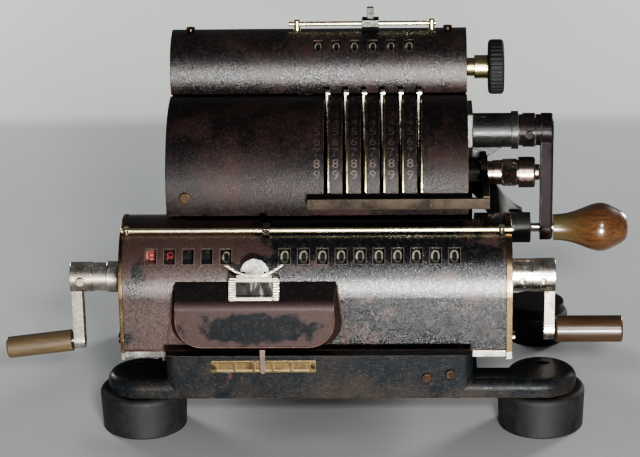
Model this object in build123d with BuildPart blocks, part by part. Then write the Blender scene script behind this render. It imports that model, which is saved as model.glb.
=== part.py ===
import os

from build123d import *

os.makedirs("parts", exist_ok=True)

# ---------------------------------------------------------------------------
# Pinwheel adding machine.  Front is -Y, the operator's right is +X, the floor
# is Z = 0.  The origin is under the middle of the whole machine.
# ---------------------------------------------------------------------------

pitch = 8.0                  # spacing of the digit places
x0 = 10.5                    # middle of the four feet, measured from the origin

# axes that run left to right, as (Y, Z)
carriage_y, carriage_z = -22.0, 58.6
drum_y, drum_z = 11.8, 94.0
dial_y, dial_z = 32.5, 136.4
crank_y, crank_z = 21.6, 110.4

# feet and base
foot_x, foot_y = 85.5, 46.6
foot_r, foot_h = 18.7, 18.0
boss_r, boss_top = 14.9, 25.5
rear_x, rear_y = 88.0, 50.8
rear_r, rear_h, rear_top = 14.5, 14.0, 17.6
wall_front, wall_t = 61.5, 5.2
plate_left, plate_right, plate_top = x0 - 74.2, x0 + 56.0, 37.6
rib_top = 25.5

# housing
body_left, body_right = x0 - 75.2, x0 + 54.8
frame_t, frame_inset = 3.0, 0.4
drum_r, dial_r, sheet = 35.0, 17.5, 1.4
back_bottom = 30.0

# carriage
car_left, car_right = x0 - 94.3, x0 + 73.0
end_left, end_right, car_r = 1.6, 2.6, 27.0
car_bottom = 34.5
window_angle, strip_angle = 39.0, 63.5
result_x = x0 - 23.5         # leftmost of ten result windows
counter_x = x0 - 80.5        # leftmost of five counter windows
n_result, n_counter = 10, 5
wheel_r, wheel_w = 23.0, 5.4
shaft_r = 3.0
run_fit = 0.05

# setting levers and check dials
n_lever = 6
slot_x = x0 - 5.9
slot_w, slot_low, slot_high = 2.4, 3.6, 94.0
lever_t, lever_off = 1.0, -0.4
lever_rest, lever_tip = 89.5, 37.0
dial_angle = 49.6
dial_x = slot_x - 4.4
dial_wheel_r, dial_wheel_w = 14.6, 5.2

# main crank
crank_len = 45.8
arm_x0, arm_x1 = x0 + 87.6, x0 + 93.0
hub_x0 = x0 + 77.9
crank_hub_r, crank_shaft_r = 7.5, 3.5
grip_end = x0 + 127.0
pin_r = 2.0

# clearing cranks
clear_left_len, clear_right_len = 29.6, 25.3

centre_min = (Align.CENTER, Align.CENTER, Align.MIN)


def rod(x_start, x_end, y, z, radius, mode=Mode.ADD):
    """Round bar along X."""
    with Locations(Location((x_start, y, z), (0, 90, 0))):
        Cylinder(radius, x_end - x_start, align=centre_min, mode=mode)


def block(xa, xb, ya, yb, za, zb, mode=Mode.ADD):
    """Box given by its six faces."""
    with Locations(((xa + xb) / 2, (ya + yb) / 2, za)):
        Box(xb - xa, yb - ya, zb - za, align=centre_min, mode=mode)


def ring_sector(x, cy, cz, r_in, r_out, start, end):
    """Piece of a ring in the YZ plane; angles from the front horizontal, upward."""
    with BuildSketch(Plane.YZ.offset(x)) as face:
        with BuildLine():
            outer = CenterArc((cy, cz), r_out, 180 - start, start - end)
            inner = CenterArc((cy, cz), r_in, 180 - start, start - end)
            Line(outer @ 0, inner @ 0)
            Line(outer @ 1, inner @ 1)
        make_face()
    return face.sketch


def radial(x, cy, cz, radius, angle):
    """Location on a cylinder, local Z pointing outward, local X along the machine."""
    rise = sine(angle)
    back = cosine(angle)
    spot = (x, cy - radius * back, cz + radius * rise)
    return Plane(origin=spot, x_dir=(1, 0, 0), z_dir=(0, -back, rise)).location


def sine(angle):
    return Vector(1, 0, 0).rotate(Axis.Z, angle).Y


def cosine(angle):
    return Vector(1, 0, 0).rotate(Axis.Z, angle).X


# ---------------------------------------------------------------------------
# Base and feet
# ---------------------------------------------------------------------------

front_spots = [(x0 - foot_x, -foot_y), (x0 + foot_x, -foot_y)]
rear_spots = [(x0 - rear_x, rear_y), (x0 + rear_x, rear_y)]

with BuildPart() as rubber_feet:
    with Locations(*[(x, y, 0) for x, y in front_spots]):
        Cone(foot_r - 0.7, foot_r, foot_h, align=centre_min)
    with Locations(*[(x, y, 0) for x, y in rear_spots]):
        Cone(rear_r - 0.4, rear_r, rear_h, align=centre_min)
    rims = rubber_feet.edges().filter_by(GeomType.CIRCLE)
    fillet(rims.filter_by_position(Axis.Z, 0, 0.1), 0.8)
    rims = rubber_feet.edges().filter_by(GeomType.CIRCLE)
    front_rims = rims.filter_by_position(Axis.Z, foot_h - 0.1, foot_h)
    rear_rims = rims.filter_by_position(Axis.Z, rear_h - 0.1, rear_h)
    fillet(front_rims + rear_rims, 2.2)
    with Locations(*[(x, y, 6) for x, y in front_spots + rear_spots]):
        Cylinder(3.0, foot_h, align=centre_min, mode=Mode.SUBTRACT)
rubber_feet.part.label = "rubber_feet"
export_step(rubber_feet.part, "parts/rubber_feet.step")

with BuildPart() as base_frame:
    # front boots, each reaching from the frame out over its foot
    for x, y in front_spots:
        inner_x = x0 + 50.0 if x > x0 else x0 - 66.0
        with BuildSketch(Plane.XY.offset(foot_h)):
            with Locations((x, y)):
                Circle(boss_r)
            with Locations(((x + inner_x) / 2, y - boss_r / 2)):
                Rectangle(abs(x - inner_x), boss_r)
        extrude(amount=boss_top - foot_h)
    # front plate, its ends sweeping down into the boots
    with BuildSketch(Plane.XZ.offset(wall_front - wall_t)) as front_face:
        with Locations((x0, foot_h)):
            Rectangle(2 * foot_x, boss_top - foot_h, align=(Align.CENTER, Align.MIN))
        with Locations(((plate_left + plate_right) / 2, foot_h)):
            Rectangle(plate_right - plate_left, plate_top - foot_h, align=(Align.CENTER, Align.MIN))
        inner = front_face.vertices().filter_by_position(Axis.Z, boss_top - 0.1, boss_top + 0.1)
        fillet(inner.filter_by_position(Axis.X, plate_left - 1, plate_right + 1), 8.0)
    extrude(amount=wall_t)
    outline = base_frame.edges().filter_by_position(Axis.Y, -wall_front - 0.01, -wall_front + 0.01)
    outline = outline.filter_by(lambda edge: boss_top - 0.5 < edge.center().Z < plate_top - 0.5)
    circles = base_frame.edges().filter_by(GeomType.CIRCLE)
    domes = circles.filter_by_position(Axis.Z, boss_top - 0.01, boss_top + 0.01)
    fillet(outline + domes, 4.0)
    # ribs that carry the side frames, stepped down to the rear boots
    for rib_a, rib_b in ((x0 - 80.0, x0 - 66.0), (x0 + 47.0, x0 + 58.0)):
        block(rib_a, rib_b, -(wall_front - wall_t - 1.0), wall_front - 1, foot_h, rib_top)
        block(rib_a, rib_b, rear_y - 10.0, wall_front - 1, rear_h, foot_h)
    for x, y in rear_spots:
        inner_x = x0 + 50.0 if x > x0 else x0 - 70.0
        with Locations((x, y, rear_h)):
            Cylinder(rear_r - 1.8, rear_top - rear_h, align=centre_min)
        block(min(x, inner_x), max(x, inner_x), y - 10.0, wall_front - 1, rear_h, rear_top)
    # studs into the rubber feet and an oval oil hole in each front boot
    with Locations(*[(x, y, 8) for x, y in front_spots]):
        Cylinder(3.0, foot_h - 8 + 0.5, align=centre_min)
    with Locations(*[(x, y, 8) for x, y in rear_spots]):
        Cylinder(3.0, rear_h - 8 + 0.5, align=centre_min)
    for x, y in front_spots:
        with BuildSketch(Plane.XY.offset(boss_top)):
            with Locations((x + (1.0 if x > x0 else -1.0), y + 5)):
                Ellipse(2.7, 1.8)
        extrude(amount=-3.0, mode=Mode.SUBTRACT)
base_frame.part.label = "base_frame"
export_step(base_frame.part, "parts/base_frame.step")

with BuildPart() as position_plate:
    with BuildSketch(Plane.XZ.offset(wall_front)):
        with Locations((x0 - 32.6, 32.9)):
            RectangleRounded(44.6, 5.4, 0.8)
    extrude(amount=0.6)
    with BuildSketch(Plane.XZ.offset(wall_front + 0.35)):
        with Locations(*[(x0 - 32.6 + i * pitch, 32.9) for i in range(-2, 3)]):
            Rectangle(pitch - 1.2, 3.6)
    extrude(amount=0.4, mode=Mode.SUBTRACT)
position_plate.part.label = "position_plate"
export_step(position_plate.part, "parts/position_plate.step")

with BuildPart() as carriage_bed:
    block(x0 - 78.0, x0 + 56.0, -38.0, -24.0, rib_top, 28.0)
    fillet(carriage_bed.edges().filter_by(Axis.X).group_by(Axis.Z)[-1], 0.8)
carriage_bed.part.label = "carriage_bed"
export_step(carriage_bed.part, "parts/carriage_bed.step")

# ---------------------------------------------------------------------------
# Housing
# ---------------------------------------------------------------------------

frame_left = body_left + frame_inset
frame_right = body_right - frame_inset - frame_t


def side_plate(x_start):
    """One cast end wall, hollowed in front for the carriage to pass."""
    with BuildPart() as wall:
        with BuildSketch(Plane.YZ.offset(x_start)):
            with Locations((drum_y, drum_z)):
                Circle(drum_r - sheet - 0.02)
            with Locations((dial_y, dial_z)):
                Circle(dial_r - sheet - 0.02)
            Polygon(
                (-2, rib_top), (48.5, rib_top), (48.5, dial_z),
                (dial_y, dial_z), (drum_y, drum_z), (-2, drum_z),
                align=None,
            )
            with Locations((carriage_y, carriage_z)):
                Circle(car_r + 1.0, mode=Mode.SUBTRACT)
        extrude(amount=frame_t)
        rod(x_start, x_start + frame_t, drum_y, drum_z, 4.0 + run_fit, Mode.SUBTRACT)
        rod(x_start, x_start + frame_t, dial_y, dial_z, shaft_r + run_fit, Mode.SUBTRACT)
    return wall.part


with BuildPart() as left_side_frame:
    add(side_plate(frame_left))
    rod(frame_left - 1.2, frame_left, drum_y, drum_z, 8.0)
    rod(frame_left - 1.2, frame_left, drum_y, drum_z, 4.0 + run_fit, Mode.SUBTRACT)
    # tie rods across to the other wall
    for rod_y, rod_z in ((41.0, 40.0), (41.0, 100.0), (14.0, 36.0)):
        rod(frame_left + frame_t, frame_right, rod_y, rod_z, 3.0)
left_side_frame.part.label = "left_side_frame"
export_step(left_side_frame.part, "parts/left_side_frame.step")

with BuildPart() as right_side_frame:
    add(side_plate(frame_right))
    rod(frame_right, frame_right + frame_t, crank_y, crank_z, crank_shaft_r + run_fit, Mode.SUBTRACT)
right_side_frame.part.label = "right_side_frame"
export_step(right_side_frame.part, "parts/right_side_frame.step")

body_len = body_right - body_left
crease_drum, crease_dial = 96.6, -24.0
drum_flats = 56

with BuildPart() as drum_cover:
    # the sheet is bent in narrow flats, so that it stays true between the slots
    turns = [-12.5 + i * (crease_drum + 12.5) / drum_flats for i in range(drum_flats + 1)]
    outside = [(drum_y - drum_r * cosine(t), drum_z + drum_r * sine(t)) for t in turns]
    inside = [(drum_y - (drum_r - sheet) * cosine(t), drum_z + (drum_r - sheet) * sine(t)) for t in turns]
    with BuildSketch(Plane.YZ.offset(body_left)):
        Polygon(*(outside + inside[::-1]), align=None)
    extrude(amount=body_len)
    # one slot per setting lever
    for k in range(n_lever):
        x_slot = slot_x + k * pitch - slot_w / 2
        slot = ring_sector(x_slot, drum_y, drum_z, drum_r - 3, drum_r + 2, slot_low, slot_high)
        extrude(slot, amount=slot_w, mode=Mode.SUBTRACT)
drum_cover.part.label = "drum_cover"
export_step(drum_cover.part, "parts/drum_cover.step")

with BuildPart() as dial_cover:
    arc = ring_sector(body_left, dial_y, dial_z, dial_r - sheet, dial_r, crease_dial, 180)
    extrude(arc, amount=body_len)
    block(body_left, body_right, dial_y + dial_r - sheet, dial_y + dial_r, back_bottom, dial_z)
    # check dial windows
    for k in range(n_lever):
        with Locations(radial(dial_x + k * pitch, dial_y, dial_z, dial_r - 1, dial_angle)):
            Box(4.0, 6.0, 5.0, mode=Mode.SUBTRACT)
dial_cover.part.label = "dial_cover"
export_step(dial_cover.part, "parts/dial_cover.step")

# screw heads: two on the crown of the housing, one on the drum cover, two on
# the front plate and two in the position plate
with BuildPart() as case_screws:
    with Locations((x0 - 67.0, dial_y, dial_z + dial_r), (x0 + 46.6, dial_y, dial_z + dial_r)):
        Cylinder(2.0, 1.4, align=centre_min)
    with Locations(radial(x0 - 66.8, drum_y, drum_z, drum_r, 1.6)):
        Cylinder(2.4, 1.0, align=centre_min)
    with Locations(
        Plane((x0 + 36.6, -wall_front, 27.4), z_dir=(0, -1, 0)).location,
        Plane((x0 + 46.4, -wall_front, 29.0), z_dir=(0, -1, 0)).location,
    ):
        Cylinder(2.1, 1.2, align=centre_min)
    for sx in (-1, 1):
        rivet_place = Plane((x0 - 32.6 + sx * 19.6 * 1.08, -wall_front - 0.6, 32.9), z_dir=(0, -1, 0))
        with Locations(rivet_place.location):
            Cylinder(1.0, 0.5, align=centre_min)
case_screws.part.label = "case_screws"
export_step(case_screws.part, "parts/case_screws.step")

# rail over the check dials, on two pillars
rail_z = dial_z + dial_r + 2.8
with BuildPart() as top_marker_rail:
    rod(x0 - 23.5, x0 + 41.4, dial_y, rail_z, 1.0)
    with Locations((x0 - 19.8, dial_y, dial_z + dial_r), (x0 + 39.6, dial_y, dial_z + dial_r)):
        Cylinder(1.5, rail_z - dial_z - dial_r + 1.6, align=centre_min)
top_marker_rail.part.label = "top_marker_rail"
export_step(top_marker_rail.part, "parts/top_marker_rail.step")

with BuildPart() as marker_slider_top:
    with BuildSketch(Plane.YZ.offset(x0 + 8.9)):
        with Locations((dial_y, rail_z + 0.3)):
            RectangleRounded(4.6, 4.6, 1.0)
    extrude(amount=7.4)
    with BuildSketch(Plane.YZ.offset(x0 + 11.1)):
        with BuildLine():
            Polyline((dial_y - 1.8, rail_z + 2.2), (dial_y - 0.9, rail_z + 7.4), (dial_y + 0.9, rail_z + 7.4),
                     (dial_y + 1.8, rail_z + 2.2), (dial_y - 1.8, rail_z + 2.2))
        make_face()
    extrude(amount=3.0)
    rod(x0 + 8.9, x0 + 16.3, dial_y, rail_z, 1.0 + run_fit, Mode.SUBTRACT)
marker_slider_top.part.label = "marker_slider_top"
export_step(marker_slider_top.part, "parts/marker_slider_top.step")

# ---------------------------------------------------------------------------
# Main crank, its bracket and the pinwheel rotor
# ---------------------------------------------------------------------------

boss_y, boss_z = crank_y, crank_z - crank_len
bracket_x = frame_right + frame_t

with BuildPart() as crank_bracket:
    with BuildSketch(Plane.YZ.offset(bracket_x)) as foot_face:
        Polygon((20, 60), (35, 60), (37, 120), (17, 120), (16, 104), (21, 90), align=None)
        fillet(foot_face.vertices(), 2.0)
    extrude(amount=3.0)
    # sleeve for the crank shaft, stiffened by a web
    rod(bracket_x + 3.0, hub_x0 - 0.4, crank_y, crank_z, 7.6)
    rod(hub_x0 - 3.4, hub_x0 - 0.4, crank_y, crank_z, 8.4)
    with BuildSketch(Plane.XZ.offset(-crank_y - 2.5)):
        Polygon((bracket_x + 2, 116), (hub_x0 - 6, 114), (hub_x0 - 6, 104), (bracket_x + 2, 94), align=None)
    extrude(amount=5.0)
    # swept arm down to the locating boss
    with BuildSketch(Plane.XZ.offset(-boss_y - 5.0)):
        with BuildLine():
            Spline((bracket_x + 2, 97), (x0 + 64, 90), (x0 + 74, 75), (x0 + 80, 70.5))
            Line((x0 + 80, 70.5), (x0 + 80, 59))
            Spline((x0 + 80, 59), (x0 + 71, 61), (x0 + 63, 72), (bracket_x + 2, 80))
            Line((bracket_x + 2, 80), (bracket_x + 2, 97))
        make_face()
    extrude(amount=-5.0)
    rod(x0 + 74.4, x0 + 83.3, boss_y, boss_z, 6.8)
    rod(bracket_x, hub_x0, crank_y, crank_z, crank_shaft_r + run_fit, Mode.SUBTRACT)
    rod(x0 + 77.0, x0 + 84.0, boss_y, boss_z, pin_r + 0.3, Mode.SUBTRACT)
crank_bracket.part.label = "crank_bracket"
export_step(crank_bracket.part, "parts/crank_bracket.step")


def gear_teeth(x_start, width, cy, cz, turn):
    """Twenty-four shallow teeth on a disc."""
    rod(x_start, x_start + width, cy, cz, 8.4)
    with BuildSketch(Plane.YZ.offset(x_start)) as teeth:
        with Locations((cy, cz)):
            with PolarLocations(8.65, 24, start_angle=turn):
                Rectangle(1.2, 1.2)
    extrude(teeth.sketch, amount=width)


with BuildPart() as crank_shaft:
    rod(x0 + 43.0, arm_x0, crank_y, crank_z, crank_shaft_r)
    gear_teeth(x0 + 44.5, 4.5, crank_y, crank_z, 0.0)
crank_shaft.part.label = "crank_shaft"
export_step(crank_shaft.part, "parts/crank_shaft.step")

with BuildPart() as crank_arm:
    with BuildSketch(Plane.YZ.offset(arm_x0)):
        with Locations((crank_y, crank_z)):
            Circle(crank_hub_r)
        with Locations((boss_y, boss_z)):
            Circle(5.6)
        Polygon(
            (crank_y - 6.4, crank_z), (crank_y + 6.4, crank_z),
            (boss_y + 5.4, boss_z), (boss_y - 5.4, boss_z),
            align=None,
        )
    extrude(amount=arm_x1 - arm_x0)
    fillet(crank_arm.edges().group_by(Axis.X)[-1], 1.2)
    rod(hub_x0, arm_x0, crank_y, crank_z, crank_hub_r - 0.6)
    rod(hub_x0 + 1.6, hub_x0 + 7.0, crank_y, crank_z, crank_hub_r)
    rod(hub_x0, arm_x0, crank_y, crank_z, crank_shaft_r, Mode.SUBTRACT)
    rod(arm_x0 - 1, arm_x1 + 1, boss_y, boss_z, pin_r + run_fit, Mode.SUBTRACT)
    # set screw in the hub
    with Locations(Location((x0 + 82.2, crank_y - crank_hub_r + 0.3, crank_z), (90, 0, 0))):
        Cylinder(1.6, 1.0, align=centre_min)
crank_arm.part.label = "crank_arm"
export_step(crank_arm.part, "parts/crank_arm.step")

with BuildPart() as crank_plunger:
    rod(x0 + 83.7, arm_x1 + 22.0, boss_y, boss_z, pin_r)
crank_plunger.part.label = "crank_plunger"
export_step(crank_plunger.part, "parts/crank_plunger.step")

grip_x = arm_x1 + 0.5
with BuildPart() as crank_grip:
    with BuildSketch(Plane.XY.offset(boss_z)):
        with BuildLine():
            Line((grip_x, boss_y), (grip_x, boss_y + 5.8))
            Spline(
                (grip_x, boss_y + 5.8), (grip_x + 6.0, boss_y + 6.4), (grip_x + 14.0, boss_y + 9.0),
                (grip_x + 22.0, boss_y + 10.9), (grip_x + 28.4, boss_y + 8.4), (grip_end, boss_y),
                tangents=((1, 0.05), (-0.1, -1)),
            )
            Line((grip_end, boss_y), (grip_x, boss_y))
        make_face()
    revolve(axis=Axis((0, boss_y, boss_z), (1, 0, 0)))
    rod(grip_x, arm_x1 + 22.5, boss_y, boss_z, pin_r + run_fit, Mode.SUBTRACT)
crank_grip.part.label = "crank_grip"
export_step(crank_grip.part, "parts/crank_grip.step")

rotor_r, rotor_shaft_r = 24.0, 6.0
with BuildPart() as pinwheel_rotor:
    rod(frame_left + frame_t + 0.5, frame_right - 0.5, drum_y, drum_z, rotor_shaft_r)
    rod(frame_left - 1.0, x0 + 70.0, drum_y, drum_z, 4.0)
    for k in range(n_lever):
        disc_x = slot_x + k * pitch + 1.4
        rod(disc_x, disc_x + 5.2, drum_y, drum_z, rotor_r)
        with BuildSketch(Plane.YZ.offset(disc_x + 1.4)) as pins:
            with Locations((drum_y, drum_z)):
                with PolarLocations(rotor_r - 2.0, 9, start_angle=100, angular_range=72, endpoint=True):
                    Rectangle(3.4, 1.4)
        extrude(pins.sketch, amount=1.6, mode=Mode.SUBTRACT)
    # finger wheel of the revolution counter
    rod(x0 - 46.0, x0 - 41.0, drum_y, drum_z, 18.0)
    gear_teeth(x0 + 44.5, 4.5, drum_y, drum_z, 7.5)
pinwheel_rotor.part.label = "pinwheel_rotor"
export_step(pinwheel_rotor.part, "parts/pinwheel_rotor.step")

# ---------------------------------------------------------------------------
# Setting levers, check dials and the zeroing bar
# ---------------------------------------------------------------------------

lever_back, lever_up = cosine(lever_rest), sine(lever_rest)
tip_spot = (drum_y - lever_tip * lever_back, drum_z + lever_tip * lever_up)

for k in range(n_lever):
    x_lever = slot_x + k * pitch + lever_off
    with BuildPart() as setting_lever:
        rod(x_lever - lever_t / 2, x_lever + lever_t / 2, drum_y, drum_z, 12.0)
        with Locations(radial(x_lever, drum_y, drum_z, 23.0, lever_rest)):
            Box(lever_t, 4.6, 28.0)
        bore_r = rotor_shaft_r + run_fit
        rod(x_lever - lever_t / 2, x_lever + lever_t / 2, drum_y, drum_z, bore_r, Mode.SUBTRACT)
        # finger tab with its little eye, standing on the cover
        rod(x_lever - 0.7, x_lever + 1.5, tip_spot[0], tip_spot[1], 1.5)
        rod(x_lever - 0.7, x_lever + 1.5, tip_spot[0], tip_spot[1], 0.6, Mode.SUBTRACT)
    setting_lever.part.label = "setting_lever_" + str(k + 1)
    export_step(setting_lever.part, "parts/setting_lever_" + str(k + 1) + ".step")

for k in range(n_lever):
    x_dial = dial_x + k * pitch
    with BuildPart() as dial_wheel:
        rod(x_dial - dial_wheel_w / 2, x_dial + dial_wheel_w / 2, dial_y, dial_z, dial_wheel_r)
        rod(x_dial - 3.4, x_dial + 3.4, dial_y, dial_z, 5.0)
        rod(x_dial - 3.4, x_dial + 3.4, dial_y, dial_z, shaft_r + run_fit, Mode.SUBTRACT)
    dial_wheel.part.label = "dial_wheel_" + str(k + 1)
    export_step(dial_wheel.part, "parts/dial_wheel_" + str(k + 1) + ".step")

with BuildPart() as dial_knob_hub:
    rod(frame_left, x0 + 64.5, dial_y, dial_z, shaft_r)
    rod(body_right + 0.4, x0 + 58.4, dial_y, dial_z, 4.0)
    rod(x0 + 58.4, x0 + 64.5, dial_y, dial_z, 5.2)
dial_knob_hub.part.label = "dial_knob_hub"
export_step(dial_knob_hub.part, "parts/dial_knob_hub.step")

with BuildPart() as dial_knob:
    rod(x0 + 64.5, x0 + 71.4, dial_y, dial_z, 12.1)
    fillet(dial_knob.edges().filter_by(GeomType.CIRCLE), 1.6)
    with BuildSketch(Plane.YZ.offset(x0 + 64.0)):
        with Locations((dial_y, dial_z)):
            with PolarLocations(12.4, 36):
                Circle(0.6)
    extrude(amount=9.0, mode=Mode.SUBTRACT)
dial_knob.part.label = "dial_knob"
export_step(dial_knob.part, "parts/dial_knob.step")

zero_r = 40.3
zero_a, zero_b = x0 + 60.8, x0 + 63.8
with BuildPart() as zero_bar:
    arc = ring_sector(x0 - 14.1, drum_y, drum_z, zero_r - 1.1, zero_r + 1.1, -3.4, 3.0)
    extrude(arc, amount=zero_b - x0 + 14.1)
    rod(zero_a, zero_b, drum_y, drum_z, 7.0)
    block(zero_a, zero_b, drum_y - zero_r, drum_y, drum_z - 3.0, drum_z + 3.0)
    rod(zero_a, zero_b, drum_y, drum_z, 5.0, Mode.SUBTRACT)
zero_bar.part.label = "zero_bar"
export_step(zero_bar.part, "parts/zero_bar.step")

with BuildPart() as zero_knob:
    rod(zero_a, x0 + 69.0, drum_y, drum_z, 5.0)
    rod(x0 + 66.0, x0 + 70.6, drum_y, drum_z, 5.4)
    rod(x0 + 70.2, x0 + 76.6, drum_y, drum_z, 6.0)
    rod(x0 + 76.6, x0 + 77.4, drum_y, drum_z, 5.5)
    rod(x0 + 77.4, x0 + 84.6, drum_y, drum_z, 6.8)
    fillet(zero_knob.faces().sort_by(Axis.X)[-1].edges(), 1.0)
    rod(x0 + 84.6, x0 + 86.8, drum_y, drum_z, 3.5)
    fillet(zero_knob.faces().sort_by(Axis.X)[-1].edges(), 0.8)
    rod(zero_a, x0 + 70.4, drum_y, drum_z, 4.0 + run_fit, Mode.SUBTRACT)
zero_knob.part.label = "zero_knob"
export_step(zero_knob.part, "parts/zero_knob.step")

# ---------------------------------------------------------------------------
# Carriage
# ---------------------------------------------------------------------------

cover_left, cover_right = car_left + end_left, car_right - end_right
cover_len = cover_right - cover_left
window_xs = [counter_x + j * pitch for j in range(n_counter)]
window_xs = window_xs + [result_x + i * pitch for i in range(n_result)]

with BuildPart() as carriage_cover:
    arc = ring_sector(cover_left, carriage_y, carriage_z, car_r - sheet, car_r, 0, 84)
    extrude(arc, amount=cover_len)
    front = carriage_y - car_r
    block(cover_left, cover_right, front, front + sheet, car_bottom, carriage_z)
    # the cover wraps over the back outside the housing only
    for wrap_a, wrap_b in ((cover_left, x0 - 66.0), (x0 + 57.5, cover_right)):
        wrap = ring_sector(wrap_a, carriage_y, carriage_z, car_r - sheet, car_r, 84, 176)
        extrude(wrap, amount=wrap_b - wrap_a)
    for x_window in window_xs:
        with Locations(radial(x_window, carriage_y, carriage_z, car_r - 1, window_angle)):
            Box(4.4, 6.6, 6.0, mode=Mode.SUBTRACT)
carriage_cover.part.label = "carriage_cover"
export_step(carriage_cover.part, "parts/carriage_cover.step")

with BuildPart() as carriage_ends:
    for x_end, end_t in ((car_left, end_left), (cover_right, end_right)):
        with BuildSketch(Plane.YZ.offset(x_end)) as end_face:
            with Locations((carriage_y, carriage_z)):
                Circle(car_r + 0.2)
            Polygon(
                (carriage_y - car_r - 0.2, 30.5), (-7, 30.5), (-7, carriage_z),
                (carriage_y - car_r - 0.2, carriage_z), align=None,
            )
        extrude(end_face.sketch, amount=end_t)
        rod(x_end - 1, x_end + end_t + 1, carriage_y, carriage_z, shaft_r + run_fit, Mode.SUBTRACT)
    # cheese-head screws low on each end
    for x_head, reach in ((car_left, -1.4), (car_right, 1.4)):
        for y_head, z_head in ((-42.0, 38.0), (-14.0, 38.0)):
            rod(min(x_head, x_head + reach), max(x_head, x_head + reach), y_head, z_head, 2.4)
    # slide bar between the ends, with two shoes that run over the bed
    block(cover_left, cover_right, -46.6, -22.0, 30.5, 33.5)
    for shoe_x in (x0 - 60.0, x0 + 30.0):
        block(shoe_x, shoe_x + 16.0, -36.0, -26.0, 28.3, 31.0)
carriage_ends.part.label = "carriage_ends"
export_step(carriage_ends.part, "parts/carriage_ends.step")

hood_left, hood_right = x0 - 70.1, x0 - 1.6
hood_top, hood_ridge, hood_low = 66.2, 60.2, 41.2
hood_back, hood_front = -44.0, -60.8


def hood_shape(inset, ridge_r):
    """Drawn hood: flared where it meets the cover, boat-shaped in front."""
    with BuildPart() as shell:
        with BuildSketch(Plane.XZ.offset(-hood_back)):
            Polygon(
                (hood_left + inset, hood_top + 1.6 - inset), (hood_right - inset, hood_top + 1.6 - inset),
                (hood_right + 5.6 - inset, 35.4 + inset), (hood_left - 5.6 + inset, 35.4 + inset), align=None,
            )
        with BuildSketch(Plane.XZ.offset(-hood_front - inset)) as front:
            Polygon(
                (hood_left + 0.6 + inset, hood_ridge - inset), (hood_right - 0.6 - inset, hood_ridge - inset),
                (hood_right - 0.9 - inset, hood_low + inset), (hood_left + 0.9 + inset, hood_low + inset),
                align=None,
            )
        loft()
        low = shell.edges().filter_by(
            lambda edge: edge.length < 22 and abs(edge.center().Z - (35.4 + hood_low) / 2 - inset) < 2
        )
        fillet(low, 11.0 - inset)
        ridge_z = hood_ridge - inset
        ridge = shell.edges().filter_by(Axis.X).filter_by_position(Axis.Z, ridge_z - 0.2, ridge_z + 0.2)
        fillet(ridge, ridge_r)
    return shell.part


with BuildPart() as carriage_hood:
    add(hood_shape(0.0, 4.0))
    add(hood_shape(1.3, 3.0), mode=Mode.SUBTRACT)
    with BuildSketch(Plane.YZ.offset(x0 - 90.0)):
        with Locations((carriage_y, carriage_z)):
            Circle(car_r)
        Polygon((-49, 30), (-30, 30), (-30, carriage_z), (-49, carriage_z), align=None)
    extrude(amount=110.0, mode=Mode.SUBTRACT)
carriage_hood.part.label = "carriage_hood"
export_step(carriage_hood.part, "parts/carriage_hood.step")

with BuildPart() as pointer:
    block(x0 - 33.9, x0 - 31.5, -63.6, -62.6, 30.0, 41.0)
    chamfer(pointer.edges().filter_by(Axis.Y).group_by(Axis.Z)[0], 0.8)
    block(x0 - 33.9, x0 - 31.5, -63.6, -57.6, 38.9, 41.0)
    add(hood_shape(0.0, 4.0), mode=Mode.SUBTRACT)
pointer.part.label = "pointer"
export_step(pointer.part, "parts/pointer.step")

rod_radius = car_r + 1.7
rod_y = carriage_y - rod_radius * cosine(strip_angle)
rod_z = carriage_z + rod_radius * sine(strip_angle)
with BuildPart() as carriage_rod:
    rod(car_left + 0.6, car_right + 0.6, rod_y, rod_z, 1.15)
    for x_post in (car_left + 2.8, car_right - 4.4):
        with Locations(radial(x_post, carriage_y, carriage_z, car_r + 0.2, strip_angle)):
            Cylinder(1.5, 3.2, align=centre_min)
    rod(car_left - 1, car_right, carriage_y, carriage_z, car_r + 0.2, Mode.SUBTRACT)
carriage_rod.part.label = "carriage_rod"
export_step(carriage_rod.part, "parts/carriage_rod.step")

with BuildPart() as carriage_marker:
    with Locations(radial(x0 - 31.5, carriage_y, carriage_z, rod_radius + 0.7, strip_angle)):
        Box(3.0, 4.0, 3.6)
    rod(x0 - 34.0, x0 - 29.0, rod_y, rod_z, 1.15 + run_fit, Mode.SUBTRACT)
carriage_marker.part.label = "carriage_marker"
export_step(carriage_marker.part, "parts/carriage_marker.step")

# catch of the carriage: an upright escutcheon with a shallow cup on the hood,
# and a domed thumb piece hinged behind it
lever_x = x0 - 36.0
lean_y, lean_z = 0.40, 0.917
catch_foot = Vector(lever_x, -57.4, 61.3)


def catch_plane(rise, forward):
    """Plane of the leaning escutcheon, moved up along it and out in front of it."""
    spot = catch_foot + Vector(0, lean_y * rise - lean_z * forward, lean_z * rise + lean_y * forward)
    return Plane(origin=spot, x_dir=(1, 0, 0), z_dir=(0, -lean_z, lean_y))


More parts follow.
